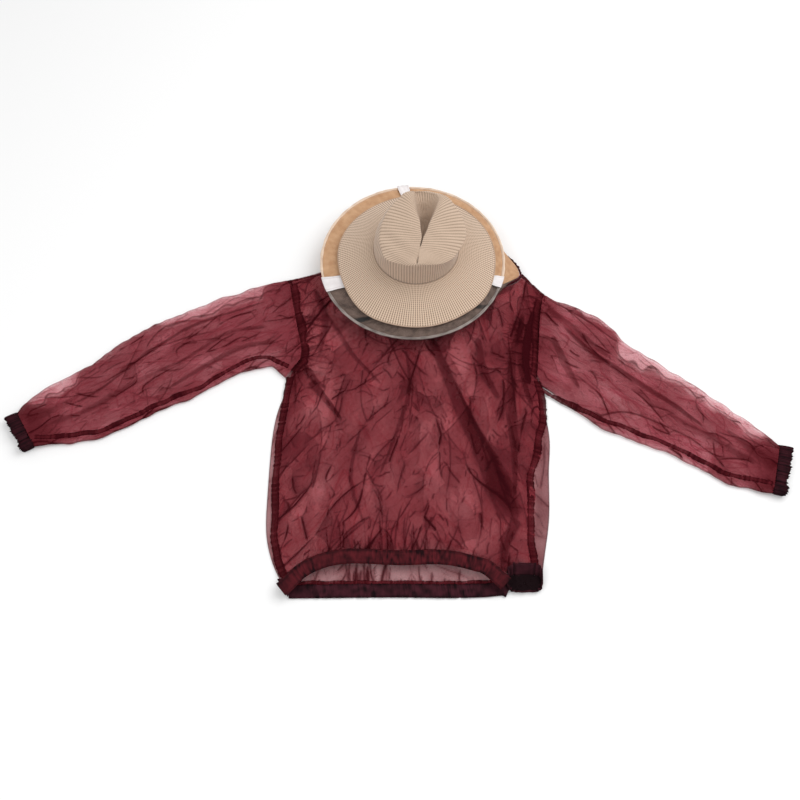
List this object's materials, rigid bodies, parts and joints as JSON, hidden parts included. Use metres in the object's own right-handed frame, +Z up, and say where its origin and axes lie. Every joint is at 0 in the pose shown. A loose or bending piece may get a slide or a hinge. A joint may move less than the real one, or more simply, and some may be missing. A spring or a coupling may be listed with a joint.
{
  "type": "beekeeping jacket",
  "caption": "Sheer pullover beekeeping smock lying flat, with gathered cuffs and hem, a hooped veil sewn to its collar and a brimmed knitted hat that lifts off the neck.",
  "frame": {"origin": "on the floor under the middle of the jacket's whole outline as it lies flat on its back", "axes": "+X across the two sleeves, +Y from the hem towards the hat, +Z up from the floor through the front of the jacket"},
  "size_m": [1.7734, 1.042, 0.2142],
  "materials": {
    "organza": "sheer, crumpled, slight sheen",
    "seam_cloth": "doubled and stitched cloth, matt",
    "elastic": "braided elastic, matt",
    "tan_mesh": "woven mesh, matt",
    "black_net": "open net, matt",
    "binding_tape": "woven tape, matt",
    "wire": "drawn wire",
    "knit": "ribbed knit, matt",
    "sweatband": "plain woven band, matt"
  },
  "bodies": {
    "jacket": {"back_panel": "organza", "front_panel": "organza", "side_seam_left": "seam_cloth", "side_seam_right": "seam_cloth", "shoulder_seam_left": "seam_cloth", "shoulder_seam_right": "seam_cloth", "armhole_seam_left": "seam_cloth", "armhole_seam_right": "seam_cloth", "hem_casing_front": "seam_cloth", "hem_casing_back": "seam_cloth", "hem_elastic_front": "elastic", "hem_elastic_back": "elastic", "hem_corner_loop": "seam_cloth", "collar_band": "seam_cloth", "veil_skirt_tan": "tan_mesh", "veil_skirt_net": "black_net"},
    "left_sleeve": {"sleeve_lower_left": "organza", "sleeve_upper_left": "organza", "sleeve_fold_left": "seam_cloth", "underarm_seam_left": "seam_cloth", "cuff_casing_left": "seam_cloth", "cuff_elastic_left": "elastic"},
    "right_sleeve": {"sleeve_lower_right": "organza", "sleeve_upper_right": "organza", "sleeve_fold_right": "seam_cloth", "underarm_seam_right": "seam_cloth", "cuff_casing_right": "seam_cloth", "cuff_elastic_right": "elastic"},
    "hoop": {"hoop_wire": "wire", "hoop_binding": "binding_tape", "veil_top_tan": "tan_mesh", "veil_top_net": "black_net", "tape_left": "binding_tape", "tape_right": "binding_tape", "tape_back": "binding_tape"},
    "hat": {"hat_crown": "knit", "hat_brim": "knit", "brim_wire": "wire", "sweatband": "sweatband"}
  },
  "joints": [
    {"name": "left_sleeve_fold", "type": "hinge", "parent": "jacket", "child": "left_sleeve", "pos_m": [-0.268, 0.278, 0.031], "axis": [0.2419, 0.9703, 0], "range_deg": [0, 180]},
    {"name": "right_sleeve_fold", "type": "hinge", "parent": "jacket", "child": "right_sleeve", "pos_m": [0.358, 0.235, 0.031], "axis": [0.1045, -0.9945, 0], "range_deg": [0, 156]},
    {"name": "veil_lift", "type": "slide", "parent": "jacket", "child": "hoop", "axis": [0, 0, 1], "range_m": [0, 0.2], "deforming": ["veil_skirt_tan", "veil_skirt_net"]},
    {"name": "hat_lift", "type": "slide", "parent": "hoop", "child": "hat", "axis": [0, 0, 1], "range_m": [0, 0.03], "deforming": ["veil_top_tan", "veil_top_net", "tape_left", "tape_right", "tape_back"]}
  ]
}
